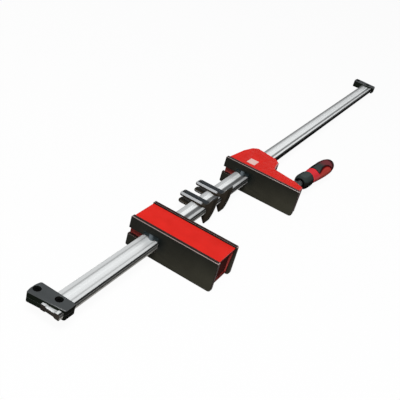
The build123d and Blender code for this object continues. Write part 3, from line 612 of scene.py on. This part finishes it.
LOOKS = {
    "rail_steel": grooved_rail(
        "rail_steel",
        colour=(0.98, 1.0, 1.0),
        line_colour=(0.93, 0.95, 0.95),
        # Narrow sides: painted shade above, near the end and further along, and a painted highlight on the band below
        near_side_colour=(0.34, 0.34, 0.32),
        far_side_colour=(0.012, 0.012, 0.012),
        near_band_colour=(0.36, 0.35, 0.33),
        far_band_colour=(0.8, 0.8, 0.8),
        end_colour=(0.11, 0.09, 0.075),
    ),
    "rail_edge": steel(
        "rail_edge", (0.012, 0.012, 0.011), (0.006, 0.006, 0.006), (0.5, 0.6), metallic=0.0, shine=0.0
    ),
    "screw_steel": steel(
        "screw_steel", (0.006, 0.006, 0.006), (0.003, 0.003, 0.003), (0.4, 0.5), metallic=0.0, shine=0.0
    ),
    "cast_core": steel("cast_core", (0.20, 0.19, 0.18), (0.14, 0.13, 0.12), (0.6, 0.75)),
    "hard_steel": steel("hard_steel", (0.42, 0.42, 0.42), (0.34, 0.34, 0.34), (0.3, 0.45)),
    "spring_steel": steel("spring_steel", (0.5, 0.5, 0.48), (0.4, 0.4, 0.39), (0.25, 0.35)),
    "spindle_steel": steel("spindle_steel", (0.12, 0.12, 0.12), (0.08, 0.08, 0.08), (0.3, 0.4)),
    # Moulded looks: top, side and front colours are painted light and shade on one plastic, and the edge colour a
    # painted highlight on the bevels
    "cap_plastic": moulded(
        "cap_plastic", (78, 81, 82), (31, 32, 28), (34, 40, 32), (66, 69, 70), (0.4, 0.5), shine=0.01
    ),
    # Red housing: darker sides and edges as painted shade, a paler front as painted light, and tops below 25.5 mm in
    # the sides' painted shade.
    "jaw_plastic": moulded(
        "jaw_plastic", (236, 46, 38), (84, 36, 32), (226, 96, 90), (200, 40, 38), (0.42, 0.52),
        grain=0.03, shine=0.03, top_start=0.0255,
    ),
    "pad_plastic": jaw_pad(
        "pad_plastic",
        grain=0.06,
        shine=0.05,
        # Pale: painted light; side: painted light on faces not turned along X; shade: painted shade round the rail;
        # edge and tongue: painted highlights; hollow: painted light
        dark=(40, 40, 35),
        pale=(74, 72, 61),
        side=(44, 28, 25),
        edge=(168, 150, 146),
        shade=(24, 31, 31),
        hollow=(56, 66, 68),
        tongue=(122, 132, 138),
    ),
    # Clip: sides and fronts lifted as painted light, a pale painted highlight on its bevels beyond 30 mm in Y, and the
    # lower arms' tops in the sides' colour as painted shade.
    "clip_plastic": moulded(
        "clip_plastic", (48, 52, 55), (58, 52, 43), (60, 53, 45), (190, 192, 194), (0.3, 0.4),
        shine=0.03, edge_start=0.030, top_start=0.0255,
    ),
    "label_film": moulded(
        "label_film", (250, 208, 200), (220, 186, 180), (220, 186, 180), (250, 208, 200), (0.35, 0.45), grain=0.05
    ),
    "arm_steel": moulded(
        "arm_steel", (30, 30, 30), (22, 22, 22), (24, 24, 24), (60, 60, 60), (0.4, 0.55), shine=0.2
    ),
    "collar_plastic": moulded(
        "collar_plastic", (74, 83, 81), (40, 38, 35), (20, 20, 19), (60, 68, 66), (0.35, 0.45),
        shine=0.0, coated=False,
    ),
    "handle_plastic": moulded(
        "handle_plastic", (228, 50, 58), (190, 40, 46), (190, 40, 46), (212, 46, 54), (0.3, 0.4), grain=0.05
    ),
    "grip_rubber": moulded(
        "grip_rubber", (52, 50, 50), (20, 18, 18), (20, 18, 18), (56, 54, 54), (0.35, 0.45), grain=0.3
    ),
    "handle_skin": handle_skin(
        "handle_skin",
        (0.35, 0.45),
        cloud=0.3,
        grain=0.1,
        shine=0.0,
        # Reds brighter on sides and fronts as painted light, a painted shade along the windows' edges, the grip's
        # painted highlight and painted reddish reflection, and the end's black, also the lobes' painted shade
        neck=(244, 62, 70),
        low_neck=(255, 92, 96),
        window=(208, 74, 66),
        low_window=(232, 92, 82),
        groove=(96, 8, 14),
        grip=(68, 75, 73),
        rear=(128, 64, 68),
        end=(20, 17, 17),
    ),
}


def dress(obj, look):
    obj.data.materials.clear()
    obj.data.materials.append(LOOKS[look])


def soft_edged(node, width):
    """A copy of a solid's mesh, its corners rounded over by a width in millimetres, that stands for the solid."""
    source = frame["nodes"][node]
    mesh = source.data.copy()
    mesh.name = node + "_shell"
    shape = bmesh.new()
    shape.from_mesh(mesh)
    bmesh.ops.remove_doubles(shape, verts=shape.verts, dist=MERGE_SOLID * MM)
    bmesh.ops.dissolve_limit(shape, angle_limit=math.radians(FLAT_ANGLE), verts=shape.verts, edges=shape.edges)
    for face in shape.faces:
        face.smooth = True
    shape.to_mesh(mesh)
    shape.free()
    piece = bpy.data.objects.new(node + "_shell", mesh)
    bpy.context.scene.collection.objects.link(piece)
    rounding = piece.modifiers.new("rounding", "BEVEL")
    rounding.width = width * MM
    rounding.segments = ROUNDING_SEGMENTS
    rounding.limit_method = "ANGLE"
    rounding.angle_limit = math.radians(CORNER_ANGLE)
    rounding.harden_normals = True
    rounding.use_clamp_overlap = True
    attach(piece, source["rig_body"])
    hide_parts(node)
    return piece


def make_object(name, shape, look, body, stands_for=()):
    """Turn a finished bmesh into a piece that rides on a body."""
    mesh = bpy.data.meshes.new(name)
    shape.to_mesh(mesh)
    shape.free()
    piece = bpy.data.objects.new(name, mesh)
    bpy.context.scene.collection.objects.link(piece)
    dress(piece, look)
    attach(piece, body)
    if stands_for:
        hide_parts(*stands_for)
    return piece


def edge_ribs(name, side):
    """Fine ribs across one narrow edge of the rail."""
    shape = bmesh.new()
    size = (RIB_LENGTH * MM, RIB_DEPTH * MM, RIB_HEIGHT * MM)
    bmesh.ops.create_cube(shape, size=1.0)
    bmesh.ops.scale(shape, vec=size, verts=shape.verts)
    start = (-RAIL_LENGTH / 2 + RIB_PITCH) * MM
    across = (RAIL_Y + side * RAIL_WIDTH / 2) * MM
    bmesh.ops.translate(shape, vec=(start, across, RIB_Z * MM), verts=shape.verts)
    for v in [v for v in shape.verts if (v.co.y - across) * side > 0]:
        v.co.x = start + (v.co.x - start) * RIB_CREST
    bmesh.ops.spin(
        shape,
        geom=shape.verts[:] + shape.edges[:] + shape.faces[:],
        cent=(0, 0, 0),
        axis=(1, 0, 0),
        dvec=(RIB_PITCH * MM, 0, 0),
        angle=0.0,
        steps=int(RAIL_LENGTH / RIB_PITCH) - 2,
        use_duplicate=True,
    )
    return make_object(name, shape, "rail_edge", "rail")


def onto_spindle(shape):
    """Move a shape drawn about the X axis from the origin onto the spindle's axis."""
    turn = Matrix.Rotation(-math.radians(SPINDLE_TILT), 4, "Z")
    bmesh.ops.transform(shape, matrix=Matrix.Translation(SEAT * MM) @ turn, verts=shape.verts)


def spun(places, steps):
    """Profile, given as places along the X axis and radii in millimetres, spun about that axis."""
    shape = bmesh.new()
    points = [shape.verts.new((s * MM, 0, r * MM)) for s, r in places]
    lines = [shape.edges.new(pair) for pair in zip(points, points[1:])]
    bmesh.ops.spin(
        shape,
        geom=points + lines,
        cent=(0, 0, 0),
        axis=(1, 0, 0),
        angle=2 * math.pi,
        steps=steps,
        use_merge=True,
    )
    bmesh.ops.remove_doubles(shape, verts=shape.verts, dist=MERGE_SPUN * MM)
    bmesh.ops.recalc_face_normals(shape, faces=shape.faces)
    return shape


def held(value):
    """Value held between nought and one."""
    return min(max(value, 0), 1)


def straight(places, at):
    """Value at a place on straight lines through some points."""
    for (a, low), (b, high) in zip(places, places[1:]):
        if at <= b:
            return low + (high - low) * held((at - a) / (b - a))
    return places[-1][1]


def ribbed_collar():
    """Barrel in front of the handle with fine ribs along it."""
    shape = spun([(COLLAR_PLACES[0][0], SPINDLE_RADIUS), *COLLAR_PLACES], COLLAR_RIBS * 2)
    bmesh.ops.bevel(
        shape,
        geom=[e for e in shape.edges if abs(e.verts[0].co.x - e.verts[1].co.x) < MERGE_SOLID * MM],
        offset=COLLAR_ROUNDING * MM,
        offset_type="OFFSET",
        segments=2,
        profile=0.5,
        affect="EDGES",
        material=-1,
    )
    half = math.pi / COLLAR_RIBS
    for v in shape.verts:
        if round(math.atan2(v.co.y, v.co.z) / half) % 2:
            v.co.y *= COLLAR_VALLEY
            v.co.z *= COLLAR_VALLEY
    for face in shape.faces:
        face.smooth = True
    onto_spindle(shape)
    body, slot = "spindle_and_handle", "collar_plastic"
    return make_object("collar_ribbed", shape, "collar_plastic", body, ["handle_collar"])


def inside_red(s, angle, radius):
    """How far a point of the handle lies inside its red neck or windows, in millimetres."""
    half = straight(WINDOW_HALVES, s)
    turn = WINDOW_TURNS[0] if angle > 0 else WINDOW_TURNS[1]
    away = abs(angle - turn)
    side = math.radians(half - min(away, 360 - away)) * radius
    if half <= 0:
        side = -abs(s - WINDOW_HALVES[-1][0])
    return max(side, straight(NECK_EDGE, abs(angle)) - s)


def gripped_handle():
    """Handle in one skin, its red neck and windows a little lower than the black grip."""
    start, end = HANDLE_PLACES[0][0], HANDLE_PLACES[-1][0]
    count = int((end - start) / HANDLE_RING)
    rings = [start + (end - start) * n / count for n in range(count + 1)]
    body = [(s, straight(HANDLE_PLACES, s)) for s in rings]
    shape = spun([(start, SPINDLE_RADIUS), *body, (end, HANDLE_HOLE)], HANDLE_STEPS)
    rounded = [v for v in shape.verts if start + HANDLE_FIRM_END < v.co.x / MM < end - HANDLE_FIRM_END]
    for turn in range(HANDLE_SMOOTHINGS):
        bmesh.ops.smooth_vert(shape, verts=rounded, factor=0.5, use_axis_x=False, use_axis_y=True, use_axis_z=True)
    inlay = shape.verts.layers.float.new("inlay")
    neck = shape.verts.layers.float.new("neck")
    for v in shape.verts:
        s, radius = v.co.x / MM, math.hypot(v.co.y, v.co.z) / MM
        if s > end - HANDLE_FLAT_END or radius < SPINDLE_RADIUS + HANDLE_FLAT_END:
            continue
        depth = inside_red(s, math.degrees(math.atan2(-v.co.y, v.co.z)), radius)
        v[inlay] = held(0.5 + depth / INLAY_SPAN)
        v[neck] = held((NECK_FADE - s) / NECK_SPAN)
        sink = 1 - INLAY_SINK / radius * held(depth / SINK_SPAN) * (1 - v[neck])
        v.co.y *= sink
        v.co.z *= sink
    for face in shape.faces:
        face.smooth = True
    onto_spindle(shape)
    body, slot = "spindle_and_handle", "handle_plastic"
    return make_object("handle_body", shape, "handle_skin", body, ["handle_core", "handle_grip"])


def threaded_spindle():
    """Spindle with its nose, neck groove and rolled thread."""
    core = SPINDLE_RADIUS - THREAD_DEPTH
    places = [(-SPINDLE_NOSE, 0), (-SPINDLE_NOSE, SPINDLE_RADIUS - SPINDLE_NOSE), (0, SPINDLE_RADIUS)]
    places += [(GROOVE_START, SPINDLE_RADIUS), (GROOVE_START, GROOVE_RADIUS), (GROOVE_END, GROOVE_RADIUS)]
    places += [(GROOVE_END, SPINDLE_RADIUS), (THREAD_START - THREAD_LEAD, SPINDLE_RADIUS)]
    places += [(THREAD_START + THREAD_LEAD, core), (THREAD_END, core), (THREAD_END + THREAD_RUNOUT, SPINDLE_RADIUS)]
    places += [(SPINDLE_END - SPINDLE_CHAMFER, SPINDLE_RADIUS), (SPINDLE_END, SPINDLE_RADIUS - SPINDLE_CHAMFER)]
    places += [(SPINDLE_END, 0)]
    shape = spun(places, SPINDLE_STEPS)
    ridge = bmesh.new()
    crest, foot, low = THREAD_PITCH * THREAD_CREST, THREAD_PITCH * THREAD_FOOT, core - THREAD_SINK
    section = ((-foot, low), (-crest, SPINDLE_RADIUS), (crest, SPINDLE_RADIUS), (foot, low))
    rim = [ridge.verts.new(((THREAD_START + s) * MM, 0, r * MM)) for s, r in section]
    sides = [ridge.edges.new(pair) for pair in zip(rim, rim[1:])]
    turns = int((THREAD_END - THREAD_START) / THREAD_PITCH)
    bmesh.ops.spin(
        ridge,
        geom=rim + sides,
        cent=(0, 0, 0),
        axis=(1, 0, 0),
        dvec=(THREAD_PITCH * MM / THREAD_STEPS, 0, 0),
        angle=-2 * math.pi * turns,
        steps=THREAD_STEPS * turns,
    )
    bmesh.ops.holes_fill(ridge, edges=ridge.edges, sides=0)
    mesh = bpy.data.meshes.new("ridge")
    ridge.to_mesh(mesh)
    ridge.free()
    shape.from_mesh(mesh)
    bpy.data.meshes.remove(mesh)
    bmesh.ops.recalc_face_normals(shape, faces=shape.faces)
    onto_spindle(shape)
    body, slot = "spindle_and_handle", "spindle_steel"
    return make_object("spindle_threaded", shape, "spindle_steel", body, ["spindle"])


SLOTS = {row["node"]: row["material_slot"] for row in frame["record"]["subparts"]}

# Pieces whose corners are rounded, and by how many millimetres
ROUNDED = {
    "rail_bar": 0.35,
    "near_cap_upper": 0.6,
    "near_cap_lower": 0.6,
    "far_cap_upper": 0.6,
    "far_cap_lower": 0.6,
    "fixed_jaw_housing": 0.5,
    "fixed_jaw_outer_pad": 0.25,
    "fixed_jaw_inner_pad": 0.25,
    "movable_jaw_housing": 0.7,
    "movable_jaw_pad": 0.25,
    "clip_front": 0.5,
    "clip_rear": 0.5,
    "sliding_arm": 0.6,
}

for name, obj in frame["nodes"].items():
    dress(obj, SLOTS[name])
for name, width in ROUNDED.items():
    shell = soft_edged(name, width)
    dress(shell, SLOTS[name])

edge_ribs("rail_ribs_throat", -1)
edge_ribs("rail_ribs_back", 1)
threaded_spindle()
ribbed_collar()
gripped_handle()


def camera():
    data = bpy.data.cameras.new("camera")
    data.lens = CAMERA_LENS
    data.sensor_width = CAMERA_SENSOR
    data.clip_start, data.clip_end = CAMERA_RANGE
    view = bpy.data.objects.new("camera", data)
    back = CAMERA_RIGHT.cross(CAMERA_UP)
    turn = Matrix((CAMERA_RIGHT, CAMERA_UP, back)).transposed().to_4x4()
    view.matrix_world = Matrix.Translation(CAMERA_PLACE) @ turn
    bpy.context.scene.collection.objects.link(view)
    bpy.context.scene.camera = view


def lamp(name, place, aim, size, power):
    data = bpy.data.lights.new(name, "AREA")
    data.shape = "DISK"
    data.size = size
    data.energy = power
    light = bpy.data.objects.new(name, data)
    direction = Vector(aim) - Vector(place)
    light.rotation_mode = "QUATERNION"
    light.rotation_quaternion = direction.to_track_quat("-Z", "Y")
    light.location = place
    bpy.context.scene.collection.objects.link(light)


def seen_directly(tree):
    """One for camera, glossy and transmission rays, nought for the light that falls on the object."""
    path = tree.nodes.new("ShaderNodeLightPath")
    seen = larger(tree, path.outputs["Is Camera Ray"], path.outputs["Is Glossy Ray"])
    return larger(tree, seen, path.outputs["Is Transmission Ray"])


def shader_mix(tree, factor, first, second):
    mix = tree.nodes.new("ShaderNodeMixShader")
    feed(tree, mix.inputs["Fac"], factor)
    tree.links.new(first, mix.inputs[1])
    tree.links.new(second, mix.inputs[2])
    return mix.outputs["Shader"]


def surroundings():
    """White all round to the eye and to gloss, with a softer grey light on the object."""
    world = bpy.data.worlds.new("studio")
    bpy.context.scene.world = world
    world.use_nodes = True
    tree = world.node_tree
    output = tree.nodes["World Output"]
    soft = tree.nodes["Background"]
    soft.inputs["Color"].default_value = SOFT_LIGHT
    soft.inputs["Strength"].default_value = SOFT_STRENGTH
    white = tree.nodes.new("ShaderNodeBackground")
    white.inputs["Color"].default_value = WHITE
    white.inputs["Strength"].default_value = 1.0
    both = shader_mix(tree, seen_directly(tree), soft.outputs["Background"], white.outputs["Background"])
    tree.links.new(both, output.inputs["Surface"])


def floor():
    """Floor that looks nearly white and throws little light back on the clamp."""
    shape = bmesh.new()
    bmesh.ops.create_grid(shape, x_segments=1, y_segments=1, size=FLOOR_SIZE)
    mesh = bpy.data.meshes.new("floor")
    shape.to_mesh(mesh)
    shape.free()
    ground = bpy.data.objects.new("floor", mesh)
    bpy.context.scene.collection.objects.link(ground)
    material = bpy.data.materials.new("floor_white")
    tree, dim = node_tree(material)
    dim.inputs["Base Color"].default_value = FLOOR_DIM
    dim.inputs["Roughness"].default_value = FLOOR_ROUGHNESS
    dim.inputs["Specular IOR Level"].default_value = 0.0
    pale = tree.nodes.new("ShaderNodeBsdfDiffuse")
    pale.inputs["Color"].default_value = FLOOR_PALE
    glow = tree.nodes.new("ShaderNodeEmission")
    glow.inputs["Strength"].default_value = 1.0
    seen = shader_mix(tree, FLOOR_GLOW, pale.outputs["BSDF"], glow.outputs["Emission"])
    both = shader_mix(tree, seen_directly(tree), dim.outputs["BSDF"], seen)
    tree.links.new(both, tree.nodes["Material Output"].inputs["Surface"])
    mesh.materials.append(material)


camera()
surroundings()
floor()
lamp("key", KEY_PLACE, KEY_AIM, KEY_SIZE, KEY_POWER)
bpy.context.scene.view_settings.view_transform = "Standard"
